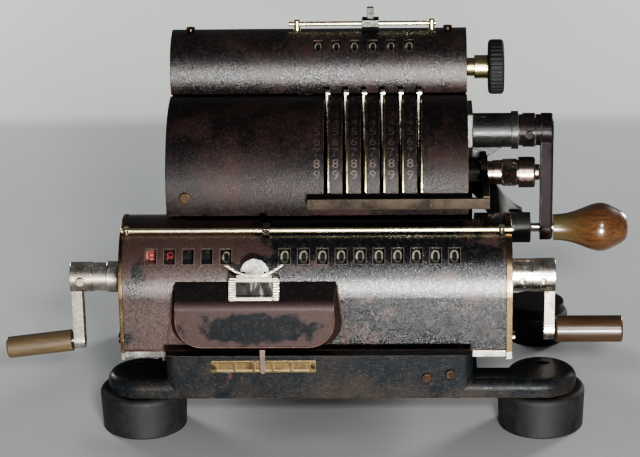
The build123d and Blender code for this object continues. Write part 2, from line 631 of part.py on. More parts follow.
lever_spot = catch_plane(8.6, -2.9).origin
lever_y, lever_z = lever_spot.Y, lever_spot.Z
cup_r = 17.7
with BuildPart() as shift_frame:
    with BuildSketch(catch_plane(4.2, 0.0)):
        RectangleRounded(21.4, 10.4, 1.6)
    extrude(amount=0.9, both=True)
    with BuildSketch(catch_plane(4.6, 0.9)):
        RectangleRounded(15.6, 5.8, 0.8)
    extrude(amount=-0.9, mode=Mode.SUBTRACT)
    with BuildSketch(catch_plane(9.6, 0.0)):
        Rectangle(15.0, 1.8)
    extrude(amount=0.6, both=True)
    with BuildSketch(catch_plane(10.2 + cup_r, 0.0)):
        Circle(cup_r + 0.5)
        Circle(cup_r - 0.5, mode=Mode.SUBTRACT)
        with Locations((0, 4.9)):
            Rectangle(60, 2 * cup_r + 0.4, mode=Mode.SUBTRACT)
    extrude(amount=0.8, both=True)
    for sx in (-1, 1):
        eye_x = lever_x + sx * 9.0
        rod(eye_x - 1.2, eye_x + 1.2, lever_y, lever_z, 1.9)
        block(eye_x - 1.2, eye_x + 1.2, lever_y - 1.9, lever_y + 1.9, 63.0, lever_z)
        block(eye_x - 1.2, eye_x + 1.2, lever_y - 3.4, lever_y - 1.4, 63.0, lever_z - 1.0)
        rod(eye_x - 1.2, eye_x + 1.2, lever_y, lever_z, 0.8 + run_fit, Mode.SUBTRACT)
    add(hood_shape(0.0, 4.0), mode=Mode.SUBTRACT)
    rod(x0 - 60.0, x0, carriage_y, carriage_z, car_r, Mode.SUBTRACT)
shift_frame.part.label = "shift_frame"
export_step(shift_frame.part, "parts/shift_frame.step")

with BuildPart() as shift_lever:
    rod(lever_x - 11.0, lever_x + 11.0, lever_y, lever_z, 0.8)
    rod(lever_x - 7.2, lever_x + 7.2, lever_y, lever_z, 1.2)
    with BuildSketch(catch_plane(8.6, -2.9)):
        with Locations((0, 2.9)):
            Circle(6.1)
        with Locations((0, -0.7)):
            Rectangle(16.0, 8.0, mode=Mode.SUBTRACT)
        with Locations((0, 1.7)):
            Rectangle(8.0, 3.8)
    extrude(amount=0.6, both=True)
shift_lever.part.label = "shift_lever"
export_step(shift_lever.part, "parts/shift_lever.step")


def number_wheel(x_wheel):
    """Numeral drum with ten edge notches and a hub running on the clearing shaft."""
    with BuildPart() as wheel:
        rod(x_wheel - wheel_w / 2, x_wheel + wheel_w / 2, carriage_y, carriage_z, wheel_r)
        rod(x_wheel - 3.7, x_wheel + 3.7, carriage_y, carriage_z, 6.0)
        rod(x_wheel - 4, x_wheel + 4, carriage_y, carriage_z, shaft_r + run_fit, Mode.SUBTRACT)
    return wheel.part


for i in range(n_result):
    with BuildPart() as result_wheel:
        add(number_wheel(result_x + i * pitch))
    result_wheel.part.label = "result_wheel_" + str(i + 1)
    export_step(result_wheel.part, "parts/result_wheel_" + str(i + 1) + ".step")

for j in range(n_counter):
    with BuildPart() as counter_wheel:
        add(number_wheel(counter_x + j * pitch))
    counter_wheel.part.label = "counter_wheel_" + str(j + 1)
    export_step(counter_wheel.part, "parts/counter_wheel_" + str(j + 1) + ".step")

left_low = carriage_z - clear_left_len
with BuildPart() as counter_crank:
    rod(x0 - 108.4, car_left - 0.4, carriage_y, carriage_z, 6.2)
    rod(x0 - 102.0, car_left - 3.0, carriage_y, carriage_z, 6.8)
    rod(x0 - 118.0, x0 - 108.4, carriage_y, carriage_z, 6.5)
    rod(x0 - 115.0, x0 - 43.0, carriage_y, carriage_z, shaft_r)
    block(x0 - 118.0, x0 - 113.2, carriage_y - 3.5, carriage_y + 3.5, left_low, carriage_z)
    rod(x0 - 118.0, x0 - 113.2, carriage_y, left_low, 3.9)
    with Locations(Location((x0 - 113.4, carriage_y - 6.1, carriage_z), (90, 0, 0))):
        Cylinder(1.8, 1.4, align=centre_min)
    with Locations(Location((x0 - 117.0, carriage_y, left_low), (0, -97.0, 0))):
        Cylinder(1.6, 26.0, align=centre_min)
counter_crank.part.label = "counter_crank"
export_step(counter_crank.part, "parts/counter_crank.step")

with BuildPart() as counter_grip:
    with Locations(Location((x0 - 119.0, carriage_y, left_low - 0.25), (0, -97.0, 0))):
        Cylinder(4.75, 29.0, align=centre_min)
        Cylinder(1.6 + run_fit, 24.4, align=centre_min, mode=Mode.SUBTRACT)
    fillet(counter_grip.edges().filter_by(GeomType.CIRCLE).group_by(Axis.X)[0], 0.8)
counter_grip.part.label = "counter_grip"
export_step(counter_grip.part, "parts/counter_grip.step")

right_low = carriage_z - clear_right_len
with BuildPart() as result_crank:
    rod(car_right + 0.4, x0 + 82.3, carriage_y, carriage_z, 7.1)
    rod(x0 + 82.3, x0 + 92.2, carriage_y, carriage_z, 7.3)
    rod(x0 - 31.0, x0 + 84.0, carriage_y, carriage_z, shaft_r)
    block(x0 + 87.6, x0 + 92.2, carriage_y - 3.6, carriage_y + 3.6, right_low, carriage_z)
    rod(x0 + 87.6, x0 + 92.2, carriage_y, right_low, 4.6)
    for x_hole in (x0 + 78.0, x0 + 87.0):
        with Locations(Location((x_hole, carriage_y - 7.6, carriage_z), (-90, 0, 0))):
            Cylinder(1.4, 2.8, align=centre_min, mode=Mode.SUBTRACT)
    rod(x0 + 91.0, x0 + 116.0, carriage_y, right_low, 1.6)
result_crank.part.label = "result_crank"
export_step(result_crank.part, "parts/result_crank.step")

with BuildPart() as result_grip:
    rod(x0 + 92.6, x0 + 121.7, carriage_y, right_low, 5.8)
    fillet(result_grip.edges().filter_by(GeomType.CIRCLE), 0.9)
    rod(x0 + 92.6, x0 + 116.4, carriage_y, right_low, 1.6 + run_fit, Mode.SUBTRACT)
result_grip.part.label = "result_grip"
export_step(result_grip.part, "parts/result_grip.step")
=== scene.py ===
import math

import bpy
from mathutils import Matrix, Vector


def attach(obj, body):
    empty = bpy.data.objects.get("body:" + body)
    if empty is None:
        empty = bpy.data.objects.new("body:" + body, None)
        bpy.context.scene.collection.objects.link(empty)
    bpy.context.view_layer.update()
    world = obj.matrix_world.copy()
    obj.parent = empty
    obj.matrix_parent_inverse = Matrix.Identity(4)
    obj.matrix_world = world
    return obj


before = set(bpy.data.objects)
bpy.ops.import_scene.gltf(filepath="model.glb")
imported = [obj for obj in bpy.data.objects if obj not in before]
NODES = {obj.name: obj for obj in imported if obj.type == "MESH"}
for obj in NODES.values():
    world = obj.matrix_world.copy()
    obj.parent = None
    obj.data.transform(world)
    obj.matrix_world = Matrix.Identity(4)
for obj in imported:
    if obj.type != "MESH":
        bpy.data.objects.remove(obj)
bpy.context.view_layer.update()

MM = 0.001

# the machine's own sizes, in millimetres
X0 = 10.5
CAR_Y, CAR_Z, CAR_R = -22.0, 58.6, 27.0
DRUM_Y, DRUM_Z, DRUM_R = 11.8, 94.0, 35.0
DIAL_Y, DIAL_Z = 32.5, 136.4
PITCH = 8.0
RESULT_X, COUNTER_X = X0 - 23.5, X0 - 80.5
SLOT_X = X0 - 5.9
DIAL_X = SLOT_X - 4.4
WHEEL_R, WHEEL_UP = 23.0, 41.5  # carriage wheels: radius, and the angle at which a digit shows
DIAL_WHEEL_R, DIAL_WHEEL_UP = 14.6, 54.0
DIAL_COVER_R = 17.5
LIFT = 0.03  # how far lettering stands off the surface below it
COVER_FRONT, COVER_BOTTOM, COVER_LEFT = -49.05, 34.95, X0 - 94.3
HOOD_LEFT, HOOD_RIGHT, HOOD_FRONT, HOOD_LOW, HOOD_CORNER = X0 - 70.1, X0 - 1.6, -60.75, 41.2, 11.0
CATCH_X = X0 - 36.0


# ---------------------------------------------------------------- materials
class Shader:
    """A principled material grown node by node from object coordinates."""

    def __init__(self, name):
        self.mat = bpy.data.materials.new(name)
        self.mat.use_nodes = True
        self.tree = self.mat.node_tree
        self.out = self.tree.nodes["Principled BSDF"]
        self.coords = self.tree.nodes.new("ShaderNodeTexCoord").outputs["Object"]

    def node(self, kind, **values):
        n = self.tree.nodes.new(kind)
        for key, value in values.items():
            if hasattr(n, key):
                setattr(n, key, value)
            else:
                n.inputs[key.replace("_", " ")].default_value = value
        return n

    def link(self, a, b):
        self.tree.links.new(a, b)

    def stretched(self, x, y, z):
        m = self.tree.nodes.new("ShaderNodeMapping")
        m.inputs["Scale"].default_value = (x, y, z)
        self.link(self.coords, m.inputs["Vector"])
        return m.outputs["Vector"]

    def noise(self, scale, detail=4.0, rough=0.55, vector=None):
        n = self.node("ShaderNodeTexNoise", Scale=scale, Detail=detail, Roughness=rough)
        self.link(vector or self.coords, n.inputs["Vector"])
        return n.outputs["Fac"]

    def axis(self, which):
        """One object coordinate, in metres."""
        n = self.node("ShaderNodeSeparateXYZ")
        self.link(self.coords, n.inputs[0])
        return n.outputs[which]

    def random_cells(self, scale):
        """One random value per small cell."""
        n = self.node("ShaderNodeTexVoronoi", feature="F1", Scale=scale)
        self.link(self.coords, n.inputs["Vector"])
        split = self.node("ShaderNodeSeparateColor")
        self.link(n.outputs["Color"], split.inputs[0])
        return split.outputs[0]

    def distance(self, centre, sizes):
        """Distance from a point in metres, measured in units of the given half sizes."""
        m = self.tree.nodes.new("ShaderNodeMapping")
        m.inputs["Scale"].default_value = tuple(1.0 / v for v in sizes)
        m.inputs["Location"].default_value = tuple(-c / v for c, v in zip(centre, sizes))
        self.link(self.coords, m.inputs["Vector"])
        n = self.node("ShaderNodeVectorMath", operation="LENGTH")
        self.link(m.outputs["Vector"], n.inputs[0])
        return n.outputs["Value"]

    def zone(self, colour, which, start, end, other):
        """Passes from one colour to another along an axis."""
        return self.mix(self.span(self.axis(which), start, end), colour, other)

    def cells(self, scale, feature="F1"):
        n = self.node("ShaderNodeTexVoronoi", feature=feature, Scale=scale)
        self.link(self.coords, n.inputs["Vector"])
        return n.outputs["Distance"]

    def span(self, value, low, high, to_low=0.0, to_high=1.0):
        n = self.node("ShaderNodeMapRange", clamp=True)
        for i, v in enumerate((low, high, to_low, to_high)):
            n.inputs[i + 1].default_value = v
        self.link(value, n.inputs[0])
        return n.outputs[0]

    def math(self, how, a, b=None):
        n = self.node("ShaderNodeMath", operation=how, use_clamp=True)
        for i, v in enumerate((a, b)):
            if v is None:
                continue
            if isinstance(v, (int, float)):
                n.inputs[i].default_value = v
            else:
                self.link(v, n.inputs[i])
        return n.outputs[0]

    def loose(self, how, a, b=None):
        """Arithmetic that isn't held between 0 and 1."""
        out = self.math(how, a, b)
        out.node.use_clamp = False
        return out

    def mix(self, factor, a, b):
        n = self.node("ShaderNodeMix", data_type="RGBA")
        self.link(factor, n.inputs["Factor"])
        for socket, v in ((n.inputs[6], a), (n.inputs[7], b)):
            if isinstance(v, tuple):
                socket.default_value = (*v, 1.0)
            else:
                self.link(v, socket)
        return n.outputs[2]

    def edges(self, radius):
        """1 on sharp edges, 0 on flats."""
        b = self.node("ShaderNodeBevel", samples=4, Radius=radius)
        g = self.tree.nodes.new("ShaderNodeNewGeometry")
        d = self.node("ShaderNodeVectorMath", operation="DOT_PRODUCT")
        self.link(b.outputs[0], d.inputs[0])
        self.link(g.outputs["Normal"], d.inputs[1])
        return self.span(d.outputs["Value"], 0.995, 0.86), b.outputs[0]

    def bump(self, height, strength, distance, normal=None):
        n = self.node("ShaderNodeBump", Strength=strength, Distance=distance)
        self.link(height, n.inputs["Height"])
        if normal:
            self.link(normal, n.inputs["Normal"])
        self.link(n.outputs[0], self.out.inputs["Normal"])
        return n.outputs[0]

    def set(self, **values):
        for key, value in values.items():
            socket = self.out.inputs[key.replace("_", " ")]
            if isinstance(value, (int, float)):
                socket.default_value = value
            elif isinstance(value, tuple):
                socket.default_value = (*value, 1.0)
            else:
                self.link(value, socket)
        return self


def lacquer(name, dark, tint, worn, tint_at=(0.42, 0.62), worn_at=(0.66, 0.74), grain=2600.0,
            bump=0.55, rough=(0.3, 0.46), edge=0.8, worn_scale=75.0, edge_colour=(0.2, 0.13, 0.08),
            lean=None, broad_scale=38.0, spot=None, painted_glint=0.12, shine=0.4, polish=None):
    """Old crackle lacquer over iron: broad tint, fine grain, rubbed patches and edges, and painted glints:
    lighter specks in the base colour that stand in for light sparkling off the crackle.

    lean: (axis, from, to, amount) lets the tint gather towards one side of the piece.
    spot: (centre, sizes) keeps the dark colour inside an oval and the tint outside it.
    polish: (axis, from, to, extra) makes the piece smoother from one place to another.
    """
    s = Shader(name)
    broad = s.noise(broad_scale, 7.0, 0.66)
    fine = s.noise(420.0, 5.0, 0.65)
    patches = s.noise(worn_scale, 9.0, 0.68)
    rim, soft = s.edges(0.0006)
    where = s.span(broad, *tint_at)
    if lean:
        which, start, end, amount = lean
        pull = s.span(s.axis(which), start, end, 0.0, amount)
        where = s.span(s.loose("ADD", broad, pull), *tint_at)
    if spot:
        far = s.distance(*spot)
        where = s.span(s.loose("ADD", far, s.span(patches, 0.3, 0.7, -0.35, 0.35)), 0.85, 1.1)
        where = s.math("MULTIPLY", where, s.span(s.axis(2), 0.0618, 0.0596, 0.25, 1.0))
    colour = s.mix(where, dark, tint)
    brighter = tuple(min(1.0, c * 1.6 + 0.004) for c in tint)
    colour = s.mix(s.span(fine, 0.5, 0.75, 0.0, 0.3), colour, brighter)
    bare = s.span(patches, *worn_at)
    colour = s.mix(bare, colour, worn)
    chipped = s.math("MULTIPLY", rim, s.span(s.noise(260.0, 4.0, 0.6), 0.42, 0.6, 0.0, edge))
    colour = s.mix(chipped, colour, edge_colour)
    grit = s.noise(grain, 2.0, 0.5)
    # painted glint: the lightest random cells get a lighter base colour, standing in for light sparkling off
    # the crackle; the same cells also vary the roughness
    glint_cells = s.random_cells(grain * 0.62)
    colour = s.mix(s.span(glint_cells, 0.8, 0.95, 0.0, painted_glint), colour, tuple(0.06 + c for c in tint))
    lumps = s.cells(grain * 0.8)
    height = s.math("ADD", s.math("MULTIPLY", grit, 0.6), s.math("MULTIPLY", lumps, 0.5))
    height = s.math("SUBTRACT", height, s.math("MULTIPLY", bare, 0.25))
    s.bump(height, bump, 0.00022, soft)
    gloss = s.math("ADD", s.span(broad, 0.35, 0.7, *rough), s.math("MULTIPLY", bare, 0.16))
    gloss = s.math("ADD", gloss, s.math("MULTIPLY", glint_cells, 0.16))
    if polish:
        which, start, end, extra = polish
        gloss = s.math("ADD", gloss, s.span(s.axis(which), start, end, extra, 0.0))
    return s.set(Base_Color=colour, Roughness=gloss, Specular_IOR_Level=shine).mat


def metal(name, bright, stain, pits=0.5, rough=(0.22, 0.42), scale=160.0,
          pit_colour=(0.06, 0.05, 0.04), bump=0.18, edge_colour=None, metallic=1.0, pit_scale=700.0,
          zone=None):
    """Worn plated or bare metal with stains, pits and bright edges."""
    s = Shader(name)
    cloud = s.noise(scale, 6.0, 0.62)
    specks = s.noise(pit_scale, 4.0, 0.7)
    rim, soft = s.edges(0.0005)
    colour = s.mix(s.span(cloud, 0.42, 0.68), bright, stain)
    if zone:
        colour = s.zone(colour, *zone)
    holes = s.math("MULTIPLY", s.span(specks, 0.57, 0.66), s.span(cloud, 0.3, 0.6, 0.0, pits))
    colour = s.mix(holes, colour, pit_colour)
    if edge_colour:
        colour = s.mix(s.math("MULTIPLY", rim, 0.85), colour, edge_colour)
    height = s.math("SUBTRACT", s.span(cloud, 0.2, 0.8, 0.3, 0.6), s.math("MULTIPLY", holes, 0.5))
    s.bump(height, bump, 0.0002, soft)
    gloss = s.math("ADD", s.span(cloud, 0.35, 0.7, *rough), s.math("MULTIPLY", holes, 0.3))
    shine = s.math("SUBTRACT", metallic, s.math("MULTIPLY", holes, 0.7))
    return s.set(Base_Color=colour, Roughness=gloss, Metallic=shine).mat


def wood(name, light, dark, dirt, coat=0.0, rough=(0.35, 0.55), ring=900.0, dirt_at=(0.6, 0.75), zone=None):
    """Turned wood: grain drawn out along the handle, handling dirt, optional varnish."""
    s = Shader(name)
    long_grain = s.noise(ring, 6.0, 0.6, s.stretched(0.07, 1.0, 1.0))
    bands = s.noise(130.0, 4.0, 0.5, s.stretched(0.25, 1.0, 1.0))
    colour = s.mix(s.span(long_grain, 0.38, 0.64), light, dark)
    colour = s.mix(s.span(bands, 0.45, 0.75, 0.0, 0.6), colour, dark)
    if zone:
        colour = s.zone(colour, *zone)
    grime = s.span(s.noise(170.0, 7.0, 0.7), *dirt_at)
    colour = s.mix(grime, colour, dirt)
    s.bump(long_grain, 0.25, 0.0002)
    gloss = s.math("ADD", s.span(bands, 0.3, 0.7, *rough), s.math("MULTIPLY", grime, 0.2))
    return s.set(Base_Color=colour, Roughness=gloss, Coat_Weight=coat, Coat_Roughness=0.14).mat


def dull(name, a, b, rough=(0.6, 0.85), scale=240.0, grain=3200.0, bump=0.3, dust=None):
    """Rubber, ebonite or old paint with faint marks and dust."""
    s = Shader(name)
    cloud = s.noise(scale, 6.0, 0.6)
    colour = s.mix(s.span(cloud, 0.38, 0.66), a, b)
    if dust:
        colour = s.mix(s.span(s.noise(95.0, 8.0, 0.7), 0.52, 0.78, 0.0, 0.7), colour, dust)
    rim, soft = s.edges(0.0005)
    s.bump(s.noise(grain, 3.0, 0.5), bump, 0.00012, soft)
    return s.set(Base_Color=colour, Roughness=s.span(cloud, 0.3, 0.7, *rough)).mat


HOUSING = lacquer("HousingLacquer", (0.008, 0.0065, 0.0065), (0.033, 0.018, 0.0165), (0.05, 0.031, 0.026),
                  tint_at=(0.46, 0.68), worn_at=(0.72, 0.8), grain=3000.0, bump=0.7, rough=(0.19, 0.28),
                  painted_glint=0.2, shine=0.5)
DRUM = lacquer("DrumLacquer", (0.008, 0.0065, 0.0065), (0.033, 0.018, 0.0165), (0.05, 0.031, 0.026),
               tint_at=(0.46, 0.68), worn_at=(0.72, 0.8), grain=3000.0, bump=0.6, rough=(0.24, 0.34),
               painted_glint=0.15, polish=(0, -0.06, 0.03, 0.06), shine=0.2)
CARRIAGE = lacquer("CarriageLacquer", (0.004, 0.005, 0.006), (0.041, 0.024, 0.021), (0.07, 0.036, 0.026),
                   tint_at=(0.565, 0.63), worn_at=(0.69, 0.75), grain=3000.0, bump=0.4,
                   rough=(0.15, 0.22), shine=0.5, polish=(0, -0.035, 0.012, 0.03), worn_scale=48.0,
                   lean=(0, 0.01, -0.055, 0.17), broad_scale=46.0, edge_colour=(0.12, 0.065, 0.045),
                   painted_glint=0.12)
HOOD = lacquer("HoodLacquer", (0.006, 0.008, 0.0095), (0.046, 0.03, 0.028), (0.048, 0.031, 0.028),
               worn_at=(0.7, 0.8), bump=0.45, worn_scale=150.0, edge=1.0, edge_colour=(0.2, 0.11, 0.085),
               rough=(0.3, 0.4), shine=0.13, spot=((-0.0255, -0.06, 0.0495), (0.0265, 1.0, 0.0068)))
RIM = lacquer("RimLacquer", (0.048, 0.026, 0.021), (0.078, 0.044, 0.035), (0.03, 0.02, 0.018),
              bump=0.35, rough=(0.3, 0.42), shine=0.25)
BASE = lacquer("BaseLacquer", (0.009, 0.011, 0.013), (0.026, 0.021, 0.018), (0.085, 0.04, 0.022), shine=0.12,
               tint_at=(0.52, 0.68), worn_at=(0.62, 0.7), grain=1700.0, bump=0.5, rough=(0.26, 0.4),
               worn_scale=85.0, lean=(2, 0.028, 0.018, 0.14), edge_colour=(0.16, 0.1, 0.06))
CAST = lacquer("CastBlack", (0.008, 0.009, 0.009), (0.02, 0.02, 0.018), (0.045, 0.034, 0.026),
               bump=0.3, rough=(0.24, 0.36), edge_colour=(0.2, 0.18, 0.15))
ARM = lacquer("ArmBlack", (0.007, 0.005, 0.006), (0.02, 0.013, 0.014), (0.05, 0.035, 0.03), shine=0.12,
              bump=0.2, rough=(0.22, 0.34), edge_colour=(0.34, 0.29, 0.25))
NICKEL = metal("WornNickel", (0.66, 0.62, 0.56), (0.25, 0.21, 0.17), pits=1.0, rough=(0.2, 0.4))
BRIGHT = metal("BrightNickel", (0.78, 0.75, 0.69), (0.46, 0.42, 0.36), pits=0.6, rough=(0.16, 0.32),
               scale=220.0)
MARKER = metal("GreyNickel", (0.045, 0.05, 0.044), (0.02, 0.022, 0.02), pits=0.7, rough=(0.2, 0.4),
               scale=320.0, edge_colour=(0.14, 0.15, 0.13))
STEEL = metal("GreySteel", (0.42, 0.41, 0.4), (0.2, 0.18, 0.16), pits=0.7, rough=(0.3, 0.5))
BRASS = metal("AgedBrass", (0.4, 0.36, 0.21), (0.2, 0.17, 0.09), pits=0.6, rough=(0.24, 0.44),
              edge_colour=(0.6, 0.55, 0.4))
PALE_BRASS = metal("PaleBrass", (0.7, 0.64, 0.44), (0.4, 0.34, 0.2), pits=0.5, rough=(0.22, 0.38),
                   edge_colour=(0.85, 0.8, 0.62))
BAR = metal("BarBrass", (0.03, 0.022, 0.014), (0.012, 0.008, 0.006), pits=0.8, rough=(0.5, 0.65),
            edge_colour=(0.16, 0.13, 0.08), scale=120.0, metallic=0.7)
ENDS = metal("EndPlates", (0.2, 0.15, 0.09), (0.05, 0.034, 0.024), pits=0.8, rough=(0.22, 0.4), scale=110.0,
             edge_colour=(0.24, 0.19, 0.12), zone=(2, 0.034, 0.0336, (0.36, 0.35, 0.32)))
BRONZE = metal("DarkBronze", (0.24, 0.185, 0.16), (0.085, 0.062, 0.052), pits=0.7, rough=(0.22, 0.4),
               edge_colour=(0.5, 0.42, 0.36))
SCREW = metal("ScrewHeads", (0.045, 0.03, 0.021), (0.018, 0.013, 0.01), pits=0.8, rough=(0.3, 0.46),
              scale=420.0, edge_colour=(0.16, 0.12, 0.08))
PLATE = metal("PlateBrass", (0.115, 0.085, 0.045), (0.038, 0.025, 0.015), pits=0.9, rough=(0.34, 0.56),
              edge_colour=(0.62, 0.54, 0.34), pit_scale=420.0, scale=240.0)
AMBER = wood("VarnishedGrip", (0.105, 0.047, 0.017), (0.05, 0.021, 0.009), (0.042, 0.03, 0.015), coat=0.8,
             rough=(0.26, 0.36), dirt_at=(0.62, 0.78), zone=(0, 0.121, 0.108, (0.07, 0.054, 0.024)))
TAN = wood("BareGrip", (0.1, 0.073, 0.04), (0.06, 0.04, 0.021), (0.03, 0.02, 0.013), ring=1300.0)
RED = wood("RedGrip", (0.06, 0.035, 0.018), (0.033, 0.018, 0.009), (0.03, 0.018, 0.01), dirt_at=(0.6, 0.74),
           rough=(0.34, 0.46), coat=0.15)
RUBBER = dull("FootRubber", (0.0045, 0.0045, 0.0045), (0.01, 0.01, 0.0095), rough=(0.58, 0.76),
              dust=(0.022, 0.021, 0.018))
EBONITE = dull("Ebonite", (0.003, 0.0034, 0.003), (0.008, 0.008, 0.007), rough=(0.62, 0.78))
WHEEL = dull("WheelBlack", (0.006, 0.006, 0.007), (0.014, 0.013, 0.012), rough=(0.4, 0.6))
WHEEL_PINK = dull("WheelPink", (0.3, 0.13, 0.11), (0.15, 0.06, 0.05), rough=(0.5, 0.7), scale=500.0)
CREAM = dull("NumeralCream", (0.22, 0.215, 0.165), (0.1, 0.097, 0.07), rough=(0.4, 0.6), scale=900.0)
RED_INK = dull("NumeralRed", (0.22, 0.035, 0.03), (0.1, 0.02, 0.018), rough=(0.4, 0.6), scale=900.0)
FAINT = dull("NumeralFaint", (0.034, 0.02, 0.017), (0.014, 0.009, 0.008), rough=(0.5, 0.7), scale=600.0)
LINER = metal("SlotLiner", (0.3, 0.26, 0.16), (0.12, 0.1, 0.06), pits=0.6, rough=(0.24, 0.4), scale=300.0)
GREY_INK = dull("NumeralGrey", (0.075, 0.066, 0.055), (0.025, 0.021, 0.018), rough=(0.5, 0.7), scale=700.0)
ENGRAVED = dull("NumeralEngraved", (0.075, 0.052, 0.043), (0.03, 0.021, 0.018), rough=(0.5, 0.7), scale=500.0)


def escutcheon():
    """Ribbed nickel surround with a dark panel inside, streaked with a painted reflection."""
    s = Shader("CatchNickel")
    side = s.math("ABSOLUTE", s.loose("SUBTRACT", s.axis(0), CATCH_X * MM))
    inside = s.span(side, 0.0079, 0.0076)
    height = s.axis(2)
    inside = s.math("MULTIPLY", inside, s.span(height, 0.0625, 0.0628))
    inside = s.math("MULTIPLY", inside, s.span(height, 0.0688, 0.0685))
    cloud = s.noise(260.0, 6.0, 0.65)
    painted_reflection_streak = s.noise(500.0, 4.0, 0.6, s.stretched(1.0, 0.3, 0.2))
    plate = s.mix(s.span(cloud, 0.4, 0.65), (0.62, 0.58, 0.5), (0.3, 0.25, 0.19))
    # painted reflection: lighter streaks laid across the dark panel
    panel = s.mix(s.span(painted_reflection_streak, 0.52, 0.6), (0.009, 0.007, 0.006), (0.14, 0.12, 0.1))
    ribs = s.node("ShaderNodeTexWave", Scale=330.0, Distortion=0.6, bands_direction="Z")
    s.link(s.coords, ribs.inputs["Vector"])
    rim, soft = s.edges(0.0004)
    s.bump(s.math("MULTIPLY", ribs.outputs["Fac"], s.span(side, 0.0078, 0.0082)), 0.6, 0.0004, soft)
    return s.set(Base_Color=s.mix(inside, plate, panel), Roughness=s.span(cloud, 0.3, 0.7, 0.2, 0.4),
                 Metallic=s.math("SUBTRACT", 0.95, s.math("MULTIPLY", inside, 0.8))).mat


def knurled():
    """Dark bronze with a diamond knurl round the turning knob."""
    s = Shader("KnurledBronze")
    above = s.loose("SUBTRACT", s.axis(2), DRUM_Z * MM)
    behind = s.loose("SUBTRACT", s.axis(1), DRUM_Y * MM)
    around = s.loose("ARCTAN2", above, behind)
    turns = s.loose("MULTIPLY", around, 22.0)
    along = s.loose("MULTIPLY", s.axis(0), 3700.0)
    ridge = s.loose("ABSOLUTE", s.loose("SINE", s.loose("ADD", turns, along)))
    cross = s.loose("ABSOLUTE", s.loose("SINE", s.loose("SUBTRACT", turns, along)))
    band = s.math("MULTIPLY", s.span(s.axis(0), 0.0803, 0.0806), s.span(s.axis(0), 0.0871, 0.0868))
    pattern = s.math("MULTIPLY", s.math("MULTIPLY", ridge, cross), band)
    cloud = s.noise(220.0, 6.0, 0.62)
    rim, soft = s.edges(0.0005)
    colour = s.mix(s.span(cloud, 0.4, 0.66), (0.24, 0.185, 0.16), (0.085, 0.062, 0.052))
    groove = s.math("MULTIPLY", s.math("SUBTRACT", 1.0, pattern), s.math("MULTIPLY", band, 0.7))
    colour = s.mix(groove, colour, (0.04, 0.03, 0.026))
    colour = s.mix(s.math("MULTIPLY", rim, 0.8), colour, (0.5, 0.42, 0.36))
    s.bump(pattern, 0.9, 0.0005, soft)
    return s.set(Base_Color=colour, Roughness=s.span(cloud, 0.3, 0.7, 0.22, 0.4), Metallic=1.0).mat


CATCH = escutcheon()
KNURL = knurled()

LOOKS = {
    HOUSING: ["dial_cover"],
    DRUM: ["drum_cover"],
    CARRIAGE: ["carriage_cover"],
    HOOD: ["carriage_hood"],
    BASE: ["base_frame"],
    CAST: ["left_side_frame", "right_side_frame", "crank_bracket"],
    ARM: ["crank_arm"],
    NICKEL: ["counter_crank", "result_crank"],
    CATCH: ["shift_frame"],
    KNURL: ["zero_knob"],
    BRIGHT: ["shift_lever", "crank_plunger"] + ["setting_lever_%d" % (k + 1) for k in range(6)],
    MARKER: ["marker_slider_top"],
    STEEL: ["carriage_bed", "crank_shaft"],
    BRASS: ["dial_knob_hub"],
    PALE_BRASS: ["carriage_rod", "top_marker_rail"],
    BAR: ["zero_bar"],
    ENDS: ["carriage_ends"],
    BRONZE: ["pointer", "carriage_marker"],
    SCREW: ["case_screws"],
    PLATE: ["position_plate"],
    AMBER: ["crank_grip"],
    TAN: ["counter_grip"],
    RED: ["result_grip"],
    RUBBER: ["rubber_feet"],
    EBONITE: ["dial_knob"],
    WHEEL: ["dial_wheel_%d" % (k + 1) for k in range(6)] + ["result_wheel_%d" % (k + 1) for k in range(10)]
    + ["counter_wheel_%d" % (k + 1) for k in range(1, 5)] + ["pinwheel_rotor"],
    WHEEL_PINK: ["counter_wheel_1"],
}
for look, names in LOOKS.items():
    for name in names:
        mesh = NODES[name].data
        mesh.materials.clear()
        mesh.materials.append(look)


# ------------------------------------------------------------------- helpers
def keep(name, mesh, look, body):
    mesh.materials.append(look)
    obj = bpy.data.objects.new(name, mesh)
    bpy.context.scene.collection.objects.link(obj)
    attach(obj, body)
    return obj


def smooth(mesh):
    for p in mesh.polygons:
        p.use_smooth = True


def glyph(text):
    """Outline of one numeral as vertices in a unit box, and its faces."""
    curve = bpy.data.curves.new("glyph", "FONT")
    curve.body = text
    curve.resolution_u = 5
    curve.extrude = 0.0
    holder = bpy.data.objects.new("glyph", curve)
    bpy.context.scene.collection.objects.link(holder)
    bpy.context.view_layer.update()
    flat = bpy.data.meshes.new_from_object(holder.evaluated_get(bpy.context.evaluated_depsgraph_get()))
    bpy.data.objects.remove(holder)
    bpy.data.curves.remove(curve)
    xs = [v.co.x for v in flat.vertices]
    ys = [v.co.y for v in flat.vertices]
    middle, low, tall = (min(xs) + max(xs)) / 2, min(ys), max(ys) - min(ys)
    width = max(max(xs) - min(xs), 0.55 * tall)
    verts = [((x - middle) / width, (y - low) / tall - 0.5) for x, y in zip(xs, ys)]
    faces = [tuple(p.vertices) for p in flat.polygons]
    bpy.data.meshes.remove(flat)
    return verts, faces


GLYPHS = {d: glyph(str(d)) for d in range(10)}


def wrap(verts, x, cy, cz, radius, angle):
    """Lays flat (across, up) points in mm round a cylinder that runs along X."""
    out = []
    for across, up in verts:
        t = math.radians(angle) + up / radius
        out.append(((x + across) * MM, (cy - radius * math.cos(t)) * MM, (cz + radius * math.sin(t)) * MM))
    return out


def numerals(name, items, look, body):
    """items: (digit, x, cy, cz, radius, angle, width, height) in mm."""
    points, faces = [], []
    for digit, x, cy, cz, radius, angle, width, height in items:
        verts, polys = GLYPHS[digit]
        start = len(points)
        points += wrap([(a * width, b * height) for a, b in verts], x, cy, cz, radius, angle)
        faces += [tuple(start + i for i in p) for p in polys]
    mesh = bpy.data.meshes.new(name)
    mesh.from_pydata(points, [], faces)
    mesh.update()
    return keep(name, mesh, look, body)


